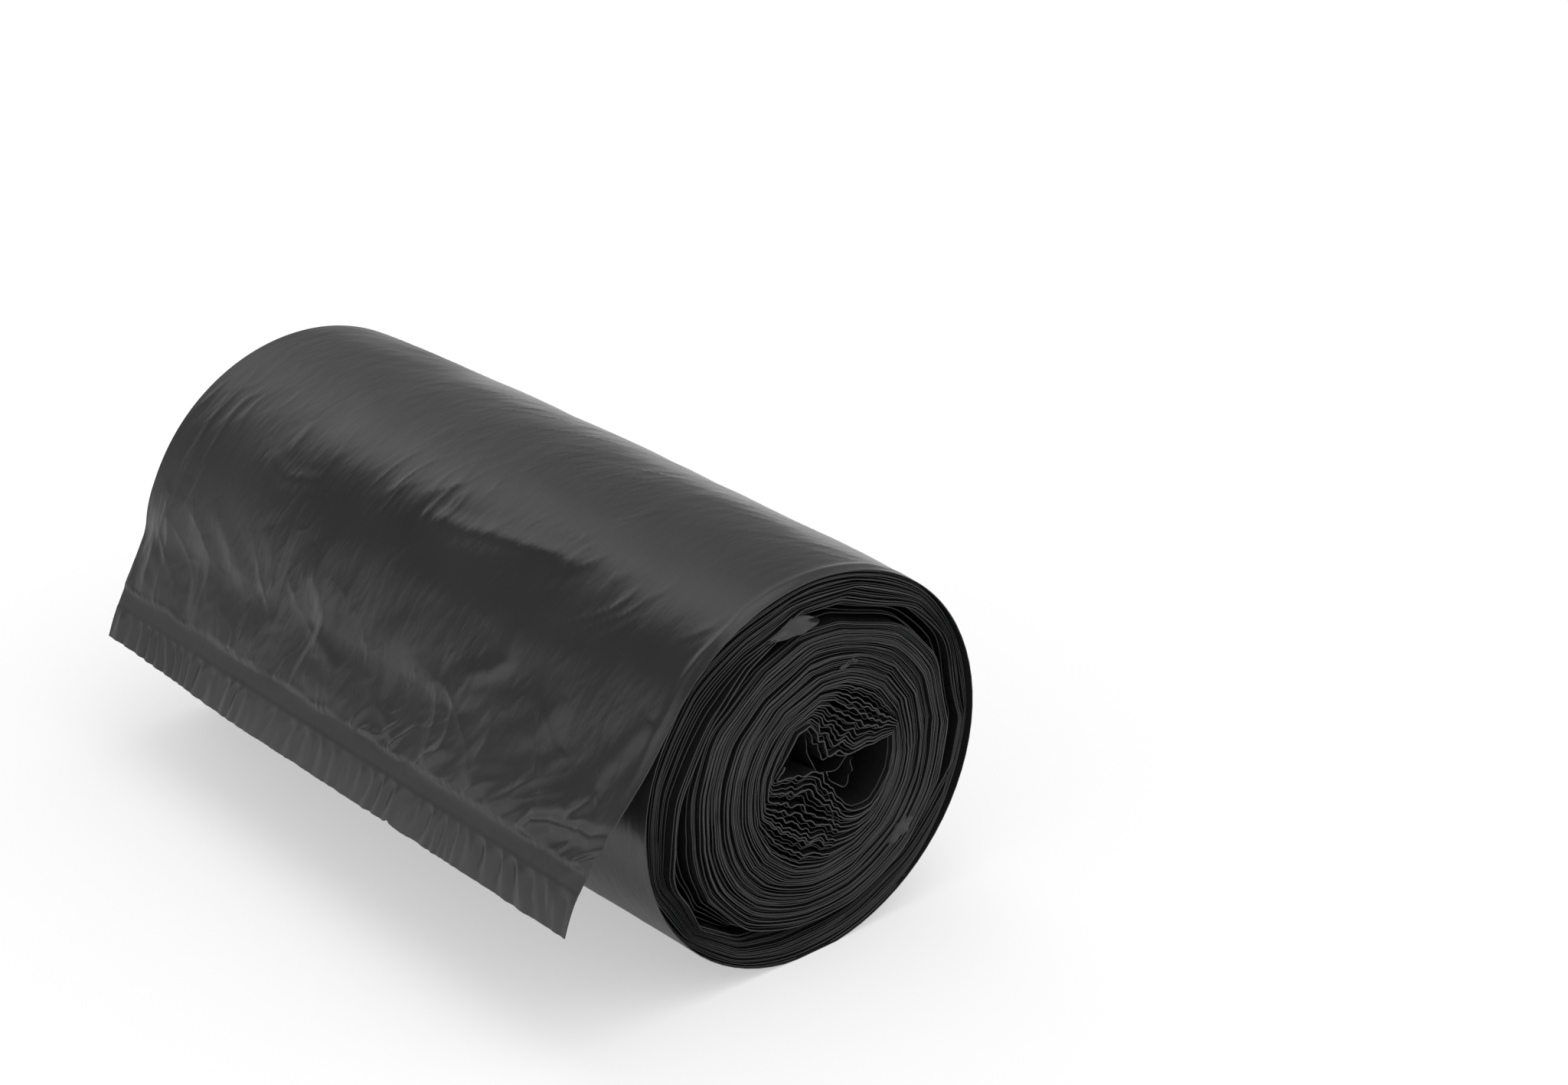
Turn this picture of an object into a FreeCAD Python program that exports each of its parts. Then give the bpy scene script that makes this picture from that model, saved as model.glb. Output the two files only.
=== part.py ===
"""Roll of black refuse bags, wound without a core, lying on its side with its loose end lifted.

One long folded film is wound on itself, so the whole roll is one solid. Seen from the front end, the
film leaves its sealed free edge at the left, runs clockwise over the top and winds inwards: first a
bundle of tight outer turns, then a hollow crescent where the inner roll has settled, then the inner
roll, and in the middle the slack first turns around an open, Z-shaped void. Turns that press on each
other are solid along the roll, and part at both ends, where a groove runs inwards between them.

Frame: +X to the right, +Y along the roll from its front end to its back end, +Z up, with the origin in
the middle of the small flat spot that the roll lies on. Millimetres and degrees. Angles are counted
counter-clockwise from the right, seen from the front end.
"""
import FreeCAD, Part
import math
import os

# Overall size of the wound roll
roll_length = 230.0
roll_width = 115.0
roll_height = 110.0
flat_width = 18.0
flat_margin = 2.0

# Turns of film: each modelled turn stands for a few real ones
bundle_turns = 5
inner_turns = 6
core_turns = 6
angle_step = 12.0

# The groove between neighbouring turns at both ends of the roll
turn_gap = 0.5
groove_depth = 3.0
thinnest_share = 0.45
least_floor_wall = 0.4

# The outermost turn starts at this angle. It is as thin as the loose end there, and it draws in over the
# last part of its way round.
root_angle = 144.0
draw_in_share = 0.25
root_taper_share = 0.15

# Thickness of the outer bundle, and width of the hollow crescent inside it, by angle
bundle_thickness = {
    0: 3.2, 18: 3.6, 45: 6.4, 72: 9.6, 90: 8.6, 108: 12.0, 135: 15.5, 162: 14.0,
    189: 10.5, 207: 5.5, 243: 7.5, 270: 9.0, 297: 7.0, 324: 3.6, 342: 3.2,
}
crescent_width = {
    0: 5.5, 45: 5.0, 90: 5.0, 117: 2.5, 144: 0.0, 162: 2.0, 189: 5.5, 207: 7.5,
    243: 2.5, 270: 0.6, 297: 0.6, 324: 4.0,
}

# The slack centre: a round bundle set off from the roll's axis, around the void
core_radius = 26.5
core_shift_x = 5.5
core_shift_z = -3.0

# Outline of the void from the middle of the core, by the angle of the turn. Two stacks of pleated film
# narrow it: one hangs into it from the upper right, the other stands in it at the lower left.
void_outline = {
    0: (22.0, -1.0), 12: (21.8, 3.0), 24: (15.5, 3.0), 36: (6.5, 3.6), 48: (0.5, 4.4),
    72: (-4.1, 10.1), 96: (-7.5, 15.2), 120: (-11.8, 14.0), 144: (-15.7, 7.4), 192: (-18.9, 4.2),
    204: (-13.5, 3.9), 228: (-6.5, 1.0), 240: (-2.5, -0.6), 264: (4.6, -9.6), 276: (8.0, -13.4),
    300: (15.8, -13.6), 324: (21.3, -6.8),
}
inner_end_angle = 96.0

# The loose outer end: a panel, a flat heat seal across it and a gathered skirt below the seal
panel_length = 45.0
seal_width = 6.0
skirt_length = 11.5
flap_wall = 0.8
seal_wall = 1.1
panel_rows = 8
panel_columns = 38
slope_sample = 0.02

# Slopes below the horizontal, in steps down the loose end. At the front end it stands off the roll at
# once. At the back end it first follows the roll for a stretch.
front_panel_slopes = (54.0, 52.0, 46.0, 40.0, 54.0)
front_seal_slope = 47.0
front_skirt_slopes = (69.0, 80.0)
cling_length = 26.0
back_panel_slope = 60.0
back_seal_slope = 57.0
back_skirt_slopes = (66.0, 72.0)

# Soft folds in the panel, which drift along the roll and lean as they go down
fold_count = 11
fold_height = 1.3
fold_drift = 0.35
fold_beat = 9.0
fold_lean = 0.5

# Gathers in the skirt, uneven in height along the roll
gather_count = 30
gather_height = 0.8
gather_points = 4
gather_unevenness = 0.25
gather_beat = 23.0

NODE = "bag_roll"

half_width = roll_width / 2.0
# The flat spot cuts the lower end off a soft circle, whose height follows from both values
half_height = roll_height / (1.0 + math.sqrt(1.0 - (flat_width / roll_width) ** 2))
axis_height = roll_height - half_height
all_turns = bundle_turns + inner_turns + core_turns
per_turn = round(360.0 / angle_step)


def between(table, angle):
    """Value of a table at an angle, straight between its entries and round the full turn."""
    angle = angle % 360.0
    keys = sorted(table)
    for low, high in zip(keys, keys[1:] + [keys[0] + 360]):
        if low <= angle <= high or low <= angle + 360.0 <= high:
            share = ((angle if angle >= low else angle + 360.0) - low) / (high - low)
            return mix(table[low], table[high % 360], share)
    return table[keys[0]]


def mix(first, second, share):
    """Straight blend of two numbers or of two points."""
    if isinstance(first, tuple):
        return tuple(a + (b - a) * share for a, b in zip(first, second))
    return first + (second - first) * share


def smooth(share):
    """Soft step from 0 to 1."""
    share = min(max(share, 0.0), 1.0)
    return share * share * (3.0 - 2.0 * share)


def skin(angle):
    """Soft circle of the outermost turn."""
    a = math.radians(angle)
    return (half_width * math.cos(a), axis_height + half_height * math.sin(a))


def inset_skin(angle, depth):
    """Point a depth inside the skin, towards the roll's axis."""
    x, z = skin(angle)
    reach = math.hypot(x, z - axis_height)
    share = depth / reach
    return (x * (1.0 - share), z + (axis_height - z) * share)


def core_rim(angle):
    """Circle that divides the inner roll from the crumpled centre."""
    a = math.radians(angle)
    return (core_shift_x + core_radius * math.cos(a), axis_height + core_shift_z + core_radius * math.sin(a))


def void_rim(angle):
    """Outline of the void."""
    x, z = between(void_outline, angle)
    return (core_shift_x + x, axis_height + core_shift_z + z)


def lane(angle, turn):
    """Outer side of the film at an angle, after a number of turns inwards."""
    if turn < bundle_turns:
        inward = smooth((turn - 1.0 + draw_in_share) / draw_in_share) if turn < 1.0 else turn
        return inset_skin(angle, between(bundle_thickness, angle) * inward / bundle_turns)
    hollow = between(bundle_thickness, angle) + between(crescent_width, angle)
    turn -= bundle_turns
    if turn < inner_turns:
        return mix(inset_skin(angle, hollow), core_rim(angle), turn / inner_turns)
    depth = (turn - inner_turns) / core_turns
    return mix(core_rim(angle), void_rim(angle), depth)


def next_lane(angle, turn):
    """Outer side of the turn below. Below the bundle's last turn it is where one more such turn would lie."""
    if turn < bundle_turns:
        return inset_skin(angle, between(bundle_thickness, angle) * (turn + 1.0) / bundle_turns)
    return lane(angle, turn + 1.0)


def film_wall(turn, pitch):
    """The whole pitch but for the groove, and down to the wall of the loose end at its root."""
    full = max(pitch - turn_gap, pitch * thinnest_share)
    return mix(min(flap_wall, full), full, min(turn / root_taper_share, 1.0))


def film_sides(angle, turn, step):
    """Outer and inner point of the film, with the groove left open to the next turn inwards."""
    outer = lane(angle, turn)
    ahead = lane(angle - step, turn + step / 360.0)
    behind = lane(angle + step, turn - step / 360.0) if turn > 0.0 else outer
    along = (ahead[0] - behind[0], ahead[1] - behind[1])
    following = next_lane(angle, turn)
    rib = (following[0] - outer[0], following[1] - outer[1])
    pitch = abs(rib[0] * along[1] - rib[1] * along[0]) / math.hypot(*along)
    inner = mix(outer, following, film_wall(turn, pitch) / pitch)
    return outer, (inner[0], max(inner[1], least_floor_wall))


def film_lines():
    """Outer and inner side of the film, from its loose end to its inner end."""
    step = 360.0 / per_turn
    wound_turns = all_turns - 1.0 + (root_angle - inner_end_angle) / 360.0
    samples = [(root_angle - step * i, i / per_turn) for i in range(round(wound_turns * per_turn) + 1)]
    sides = [film_sides(angle, turn, step) for angle, turn in samples]
    return [outer for outer, inner in sides], [inner for outer, inner in sides]


def vector(point, y):
    return FreeCAD.Vector(point[0], y, point[1])


def line_edges(points, y):
    return [Part.makeLine(vector(a, y), vector(b, y)) for a, b in zip(points, points[1:])]


def arc_edges(points, y):
    """Arcs through every three points, with a straight line left over where their number is even."""
    edges = []
    for index in range(0, len(points) - 2, 2):
        first, middle, last = (vector(p, y) for p in points[index: index + 3])
        edges.append(Part.Arc(first, middle, last).toShape())
    if len(points) % 2 == 0:
        edges += line_edges(points[-2:], y)
    return edges


def outer_turn_edges(points, y):
    """Skin of the outermost turn: arcs, with the flat spot as a straight line between them."""
    half_flat = flat_width / 2.0
    kept_clear = half_flat + flat_margin
    flat = [index for index, (x, z) in enumerate(points) if abs(x) < kept_clear and z < axis_height]
    right = (half_flat, 0.0)
    left = (-half_flat, 0.0)
    edges = arc_edges(points[: flat[0]] + [right], y)
    edges += line_edges([right, left], y)
    edges += arc_edges([left] + points[flat[-1] + 1:], y)
    return edges


def closed_face(points, y):
    return Part.Face(Part.Wire(line_edges(points + points[:1], y)))


def crescent_outline(outer, inner):
    """Gap between the bundle and the inner roll, where it is wider than a groove."""
    first = bundle_turns * per_turn
    spots = range(first, first + per_turn + 1)
    wide = [i for i in spots if math.dist(inner[i - per_turn], outer[i]) > 2.0 * turn_gap]
    return [inner[i - per_turn] for i in wide] + [outer[i] for i in wide[::-1]]


def wound_film():
    """The wound turns, with the crescent and the void through them and a groove between them at both ends.

    Also gives the outer and inner point of the film where the loose end leaves the roll."""
    y = -roll_length / 2.0
    outer, inner = film_lines()
    rim = outer_turn_edges(outer[: per_turn + 1], y)
    rim += line_edges([outer[per_turn], outer[0]], y)
    crescent = closed_face(crescent_outline(outer, inner), y)
    void = closed_face(inner[-per_turn - 1:], y)
    body = Part.Face(Part.Wire(rim)).cut([crescent, void]).extrude(FreeCAD.Vector(0.0, roll_length, 0.0))
    between_turns = inner[:-per_turn] + outer[per_turn:][::-1]
    inwards = FreeCAD.Vector(0.0, groove_depth, 0.0)
    front_groove = closed_face(between_turns, y).extrude(inwards)
    back_groove = closed_face(between_turns, -y).extrude(-inwards)
    return body.cut([front_groove, back_groove]), outer[0], inner[0]


def step_along(points, slopes, length):
    """Goes on from the last point in equal steps with the given slopes below the horizontal."""
    stride = length / len(slopes)
    for slope in slopes:
        x, z = points[-1]
        a = math.radians(slope)
        points.append((x - stride * math.cos(a), z - stride * math.sin(a)))
    return points


def front_panel():
    """Outer side of the panel at the front end of the roll."""
    return step_along([skin(root_angle)], front_panel_slopes, panel_length)


def back_panel():
    """Outer side of the panel at the back end: along the roll first, then off it."""
    points = [skin(root_angle)]
    stride = panel_length / len(front_panel_slopes)
    angle = root_angle
    travelled = 0.0
    while len(points) <= len(front_panel_slopes):
        if travelled < cling_length:
            a = math.radians(angle)
            reach = math.hypot(half_width * math.sin(a), half_height * math.cos(a))
            angle += math.degrees(stride / reach)
            points.append(skin(angle))
        else:
            step_along(points, (back_panel_slope,), stride)
        travelled += stride
    return points


def along_profile(points, share):
    """Point at a share of the way along a row of equally spaced points, on a smooth curve."""
    curve = Part.BSplineCurve()
    curve.interpolate([vector(p, 0.0) for p in points])
    spot = curve.value(curve.FirstParameter + share * (curve.LastParameter - curve.FirstParameter))
    return (spot.x, spot.z)


def strip(front, back, wall, side, heights):
    """Closed outline round the film along the roll, between a front and a back point.

    The heights lift both sides of the film off the straight line, at equal spaces along it."""
    last = len(heights) - 1
    upper, lower = [], []
    for index, height in enumerate(heights):
        share = index / last
        x, z = mix(front, back, share)
        y = (share - 0.5) * roll_length
        upper.append(FreeCAD.Vector(x + side[0] * height, y, z + side[1] * height))
        lower.append(FreeCAD.Vector(x + side[0] * (height - wall), y, z + side[1] * (height - wall)))
    return Part.makePolygon(upper + lower[::-1] + upper[:1])


def outward(front, back):
    """Unit direction off the film's outer side, from its way down at both ends."""
    x = sum(line[1][0] - line[0][0] for line in (front, back))
    z = sum(line[1][1] - line[0][1] for line in (front, back))
    length = math.hypot(x, z)
    return (z / length, -x / length)


def fold_heights(share):
    """Soft folds of the panel: none at its root and at the seal, fullest between."""
    full = fold_height * math.sin(math.pi * share)
    heights = []
    for index in range(panel_columns + 1):
        way = index / panel_columns
        drift = fold_drift * math.sin(fold_beat * way) + fold_lean * share
        wave = math.sin(2.0 * math.pi * (fold_count * way + drift))
        heights.append(full * (0.5 + 0.5 * wave))
    return heights


def gather_heights():
    """Gathers of the skirt: they start at the seal and run to the free edge, uneven along the roll."""
    heights = []
    for index in range(gather_count * gather_points + 1):
        way = index / (gather_count * gather_points)
        fullness = 1.0 - gather_unevenness * (0.5 - 0.5 * math.sin(gather_beat * way))
        heights.append(gather_height * fullness * math.sin(2.0 * math.pi * gather_count * way))
    return heights


def panel(root_outer, root_inner):
    """Panel from the root of the loose end to the seal, lofted over a few folded strips."""
    front_points = front_panel()
    back_points = back_panel()
    wires = []
    for row in range(panel_rows + 1):
        share = row / panel_rows
        low, high = max(share - slope_sample, 0.0), min(share + slope_sample, 1.0)
        front = along_profile(front_points, share)
        back = along_profile(back_points, share)
        front_way = (along_profile(front_points, low), along_profile(front_points, high))
        back_way = (along_profile(back_points, low), along_profile(back_points, high))
        side = outward(front_way, back_way)
        if row == 0:
            across = (root_outer[0] - root_inner[0], root_outer[1] - root_inner[1])
            side = (across[0] / math.hypot(*across), across[1] / math.hypot(*across))
        if row == panel_rows:
            side = seal_side(front_points[-1], back_points[-1])
        wires.append(strip(front, back, flap_wall, side, fold_heights(share)))
    return Part.makeLoft(wires, True, True)


def seal_ends(front, back):
    """Front and back line across the seal, from the panel's side to the skirt's side."""
    front_line = step_along([front], (front_seal_slope,), seal_width)
    back_line = step_along([back], (back_seal_slope,), seal_width)
    return front_line, back_line


def seal_side(front, back):
    return outward(*seal_ends(front, back))


def seal_and_skirt():
    """The flat welded band, a little thicker than the film, and the gathered skirt below it."""
    front_line, back_line = seal_ends(front_panel()[-1], back_panel()[-1])
    side = seal_side(front_line[0], back_line[0])
    lift = (seal_wall - flap_wall) / 2.0
    level = (lift, lift)
    band = Part.makeLoft([
        strip(front_line[0], back_line[0], seal_wall, side, level),
        strip(front_line[1], back_line[1], seal_wall, side, level),
    ], True, True)
    front_points = step_along([front_line[1]], front_skirt_slopes, skirt_length)
    back_points = step_along([back_line[1]], back_skirt_slopes, skirt_length)
    across = outward((front_points[0], front_points[-1]), (back_points[0], back_points[-1]))
    heights = gather_heights()
    wires = [strip(f, b, flap_wall, across, heights) for f, b in zip(front_points, back_points)]
    return band, Part.makeLoft(wires, True, True)


def bag_roll():
    film, root_outer, root_inner = wound_film()
    band, skirt = seal_and_skirt()
    whole = film.fuse([panel(root_outer, root_inner), band, skirt])
    return whole.Solids[0] if len(whole.Solids) == 1 else whole


os.makedirs("parts", exist_ok=True)
roll = bag_roll()
roll.exportStep(f"parts/{NODE}.step")
box = roll.BoundBox
print(f"{NODE}: {len(roll.Solids)} solid, valid {roll.isValid()}, volume {roll.Volume / 1000.0:.1f} cm3")
print(f"x {box.XMin:.2f} to {box.XMax:.2f}, y {box.YMin:.2f} to {box.YMax:.2f}, z {box.ZMin:.2f} to {box.ZMax:.2f}")
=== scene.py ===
"""Looks of the bin bag roll: black polyethylene film, wound without a core, with its loose end lifted.

The film is modelled as what it is. One sheet makes the loose end, with its folds, weld and gathers, and
one the outermost turn. The turns below are thin ribbons in three groups, drawn over the whole length of
the roll, so that both ends show their edges. Small loose sheets lie in the open middle, and small folds
stand out of the front end. Lengths of the film are millimetres until a mesh is made, and metres in the
looks, the light and the camera. The roll's axis is along Y, the front end at -Y and the floor at z = 0.
"""
import math

import bpy
import numpy as np
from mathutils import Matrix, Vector


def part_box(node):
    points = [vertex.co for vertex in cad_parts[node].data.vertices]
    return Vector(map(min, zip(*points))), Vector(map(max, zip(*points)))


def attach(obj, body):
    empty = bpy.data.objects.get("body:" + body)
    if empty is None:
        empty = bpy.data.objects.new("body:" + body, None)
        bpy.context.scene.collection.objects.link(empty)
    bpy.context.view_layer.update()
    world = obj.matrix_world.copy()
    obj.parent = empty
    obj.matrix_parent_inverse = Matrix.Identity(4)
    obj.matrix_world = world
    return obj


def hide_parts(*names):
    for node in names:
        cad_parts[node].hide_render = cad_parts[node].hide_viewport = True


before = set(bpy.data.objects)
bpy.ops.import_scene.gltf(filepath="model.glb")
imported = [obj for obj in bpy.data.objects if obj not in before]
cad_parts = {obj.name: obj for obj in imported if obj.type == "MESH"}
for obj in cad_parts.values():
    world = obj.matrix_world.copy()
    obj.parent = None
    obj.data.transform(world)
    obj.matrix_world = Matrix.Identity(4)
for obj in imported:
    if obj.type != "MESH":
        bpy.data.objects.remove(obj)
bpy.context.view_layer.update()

MM = 0.001
NODE = "bag_roll"
BODY = "root"

# Overall size of the wound roll, as its solid has it
low_corner, high_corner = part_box(NODE)
LENGTH = (high_corner.y - low_corner.y) / MM
HEIGHT = (high_corner.z - low_corner.z) / MM
WIDTH = 2.0 * high_corner.x / MM
FLAT_WIDTH = 18.0
HALF_WIDTH = WIDTH / 2.0
HALF_HEIGHT = HEIGHT / (1.0 + math.sqrt(1.0 - (FLAT_WIDTH / WIDTH) ** 2))
AXIS_HEIGHT = HEIGHT - HALF_HEIGHT
END = LENGTH / 2.0

# Turns of film in each group, from the outside in: the tight outer bundle, the loose ones in the hollow
# crescent, the tight ones inside it, and the crumpled core. ROOT_ANGLE is where the loose end leaves the roll
BUNDLE_TURNS = 31
LOOSE_TURNS = 4
INNER_TURNS = 54
CORE_TURNS = 22
TIGHT_START = BUNDLE_TURNS + LOOSE_TURNS
ROLL_TURNS = TIGHT_START + INNER_TURNS
ALL_TURNS = ROLL_TURNS + CORE_TURNS
ROOT_ANGLE = 144.0

# Thickness of the outer bundle and width of the hollow crescent inside it, by angle in degrees,
# counter-clockwise from the right, seen from the front end
BUNDLE_THICKNESS = {
    0: 3.2, 18: 3.6, 45: 6.4, 72: 9.6, 90: 8.6, 108: 12.0, 135: 15.5, 162: 14.0,
    189: 10.5, 207: 5.5, 243: 7.5, 270: 9.0, 297: 7.0, 324: 3.6, 342: 3.2,
}
CRESCENT_WIDTH = {
    0: 5.5, 45: 5.0, 90: 5.0, 117: 2.5, 144: 0.0, 162: 2.0, 189: 5.5, 207: 7.5,
    243: 2.5, 270: 0.6, 297: 0.6, 324: 4.0,
}

# The crumpled centre around the void
CORE_RADIUS = 26.5
CORE_X = 5.5
CORE_Z = AXIS_HEIGHT - 3.0
# Power by which the turns of the core lie closer together at its rim than at the void
CORE_SPREAD = 1.25
VOID_OUTLINE = {
    0: (22.2, -0.6), 18: (22.2, 3.9), 27: (13.0, 2.6), 36: (5.6, 3.4), 54: (-0.9, 4.8),
    72: (-4.1, 10.1), 90: (-6.4, 15.4), 117: (-11.0, 14.6), 144: (-15.7, 7.4), 198: (-18.9, 3.9),
    207: (-12.9, 3.9), 225: (-7.3, 1.2), 243: (-1.8, -1.0), 261: (3.7, -8.6), 279: (8.4, -13.9),
    297: (15.8, -13.9), 324: (21.3, -6.8),
}

# The two stacks of pleated film: angle in the middle of each, half its spread, and its pleats, each with its
# place across the stack, height, half width and the depth in the core where it is highest
STACKS = (
    (235.0, 38.0, (
        (-4.5, 2.9, 4.6, 0.80), (8.0, 2.1, 3.4, 0.35), (-10.0, 1.0, 2.2, 0.60), (2.2, 0.9, 1.8, 0.40),
        (13.0, 1.1, 2.2, 0.65), (-1.0, 0.8, 1.6, 0.15), (4.5, 0.8, 1.7, 0.95),
    )),
    (52.0, 34.0, (
        (-3.5, 2.6, 3.8, 0.75), (4.0, 2.2, 3.2, 0.85), (9.5, 1.6, 2.6, 0.70), (0.5, 1.0, 1.8, 0.35),
        (-9.0, 1.2, 2.4, 0.55), (6.5, 0.9, 1.7, 0.30), (-6.5, 0.8, 1.6, 0.15),
    )),
)
# Share of the core's depth over which a pleat rises and sinks, degrees over which the pleats run out at the
# sides of their stack, and the small pleats that lie between the listed ones
PLEAT_REACH = 0.38
STACK_EDGE = 12.0
SMALL_PLEAT_HEIGHT = 0.32
SMALL_PLEAT_WIDTH = 4.1

# The stiff film bends at corners: degrees between them, how far one may shift as a share of that, turns until
# its shift has changed, and the turns over which the film goes over from smooth to faceted. Corners lie
# CORNER_GAP apart in the noise, so that neighbours shift independently
FACET = 24.0
CORNER_SHIFT = 0.36
CORNER_TURNS = 14.0
CORNER_GAP = 5.37
STIFFENING_TURNS = 16.0

# How far the film strays from its lane, in turns, over long and over short stretches
SLOW_WANDER = 0.55
QUICK_WANDER = 0.12

# Ribbons of film, each with its first and last turn, points to a turn, greatest thickness, and how far its
# two middle rows of points lie from the middle of the roll's length
RIBBONS = {
    "bundle_turns": (1.0, BUNDLE_TURNS, 150, 0.34, 104.0),
    "inner_turns": (BUNDLE_TURNS, ROLL_TURNS, 138, 0.34, 100.0),
    "core_turns": (ROLL_TURNS, ALL_TURNS, 300, 0.30, 100.0),
}
# Share of the space between turns that the film fills, its least thickness, and the width of the narrow band
# along each edge
FILM_SHARE = 0.6
LEAST_WALL = 0.08
EDGE_BAND = 0.4

# Where groups of turns lie back from the roll's ends: middle and half spread in degrees, degrees over which
# they run out, and depth. The loose turns of the crescent lie back all round
LEFT_BACK = (175.0, 75.0, 40.0, 4.0)
RIGHT_BACK = (0.0, 55.0, 30.0, 1.8)
BOTTOM_BACK = (278.0, 52.0, 30.0, 6.5)
LOOSE_BACK = 5.0
# How much the other turns lie back: all of them, in groups, one by one and along a turn, and their limits
PLAIN_BACK = 0.30
GROUP_BACK = 1.4
SINGLE_BACK = 0.35
WAVY_BACK = 0.22
LEAST_BACK = 0.1
MOST_BACK = 3.0

# Loose sheets of the film's inner end that hang in the open middle: their routes in the end view
INNER_SHEETS = (
    ((-0.9, 68.8), (-0.2, 62.0), (1.4, 55.5), (3.7, 51.1), (11.1, 49.3), (14.0, 52.2), (18.4, 53.8)),
    ((6.5, 51.1), (9.0, 46.8), (13.8, 43.2), (15.6, 45.5), (16.6, 52.0)),
    ((-12.8, 52.4), (-9.0, 54.0), (-3.0, 52.6), (3.6, 50.6)),
)
SHEET_FRONT = -111.5
SHEET_BACK = -55.0
SHEET_COLUMNS = 70
SHEET_ROWS = 50
SHEET_WALL = 0.22

# Small folds that stand out of the front end: lower edge, upper edge, number of pleats and height. Their foot
# lies END_FOLD_SEAT inside the end
END_FOLDS = (
    (((-16.4, 96.7), (-7.0, 97.2), (1.6, 98.2)),
     ((-16.4, 97.0), (-7.9, 101.0), (-2.2, 100.8), (1.6, 99.3)), 0.5, 4.0),
    (((27.5, 21.5), (31.0, 24.0), (36.5, 27.5)), ((26.5, 23.5), (30.0, 27.0), (35.0, 30.0)), 2.5, 2.2),
    (((9.0, 80.3), (13.0, 81.5), (16.0, 81.0)), ((9.5, 81.6), (13.0, 82.8), (16.5, 82.2)), 1.5, 0.8),
)
END_FOLD_COLUMNS = 60
END_FOLD_ROWS = 16
END_FOLD_WALL = 0.2
END_FOLD_SEAT = 1.2

# The loose end: lengths down the film from its root of the plain panel, the weld and the gathered skirt
PANEL = 45.0
SEAL = 6.0
SKIRT = 11.5
LOOSE_LENGTH = PANEL + SEAL + SKIRT
FLAP_WALL = 0.35
# Heights of its folds: the wide ones that hang from the roll, those between them, crossing ones, the crumple
# over them and the finest ones
WIDE_FOLDS = 1.10
MIDDLE_FOLDS = 0.55
CROSSING_FOLDS = 0.30
CRUMPLE = 0.06
FINE_FOLDS = 0.10
# The weld: width of its borders, how deep it is pressed, and how high its dotted upper border and its lower
# border stand
WELD_EDGE = 0.5
WELD_DEPTH = 0.10
DOTTED_BORDER = 0.62
LOWER_BORDER = 0.12
# Gathers below the weld and puckers above it: millimetres from one to the next, heights, and heights of the
# small ones on them
GATHER_SPACING = 5.6
GATHER_HEIGHT = 1.05
SMALL_GATHERS = 0.22
PUCKER_SPACING = 6.0
PUCKER_HEIGHT = 1.3
SMALL_PUCKERS = 0.25
# A nick in the free edge: place along the roll, depth and half width. At the back the skirt is shorter
NICK_Y = -34.5
NICK_DEPTH = 0.9
NICK_WIDTH = 0.8
BACK_SHORTER = 2.0
# At the front corner the film's edge swells forwards: how far, its distance down the film, and its reach
BULGE = 1.8
BULGE_DOWN = 39.0
BULGE_REACH = 6.0
# Slopes in degrees below the horizontal, by distance down the film, at the roll's front and back ends. At the
# back, the film clings to the roll for its first CLING millimetres
FRONT_SLOPES = {
    0: 53.0, 9: 54.0, 18: 51.0, 27: 43.0, 34: 42.0, 42: 52.0, 46: 58.0, 51: 60.0, 56: 66.0, 63: 74.0,
}
CLING = 25.0
BACK_SLOPES = {25: 75.0, 30: 62.0, 45: 60.0, 51: 62.0, 55: 66.0, 63: 71.0}
# The profiles run on a little past the free edge, in short steps
PROFILE_SPARE = 2.0
WALK_STEP = 0.25
# How much fuller the roll is in the middle of its length, and how far the film may lie below its lane
BARREL = 1.6
DEEPEST_HOLLOW = 0.15
# Heights of the wound film's wrinkles: short streaks, fine ones among them, long streaks and soft waves
STREAKS = 0.30
FINE_WRINKLES = 0.09
LONG_STREAKS = 0.08
SOFT_WAVES = 0.30

# Grid of the outer film: columns along the roll, rows down the loose end and round the roll. The rows lie
# closer together on the first FINE_WAY millimetres from the root, which the photograph shows
COLUMNS = 360
FLAP_ROWS = 106
WRAP_ROWS = 134
WRAP_LENGTH = 354.0
FINE_WAY = 115.0
FINE_SHARE = 0.62
WRAP_WALL = 0.25

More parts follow.
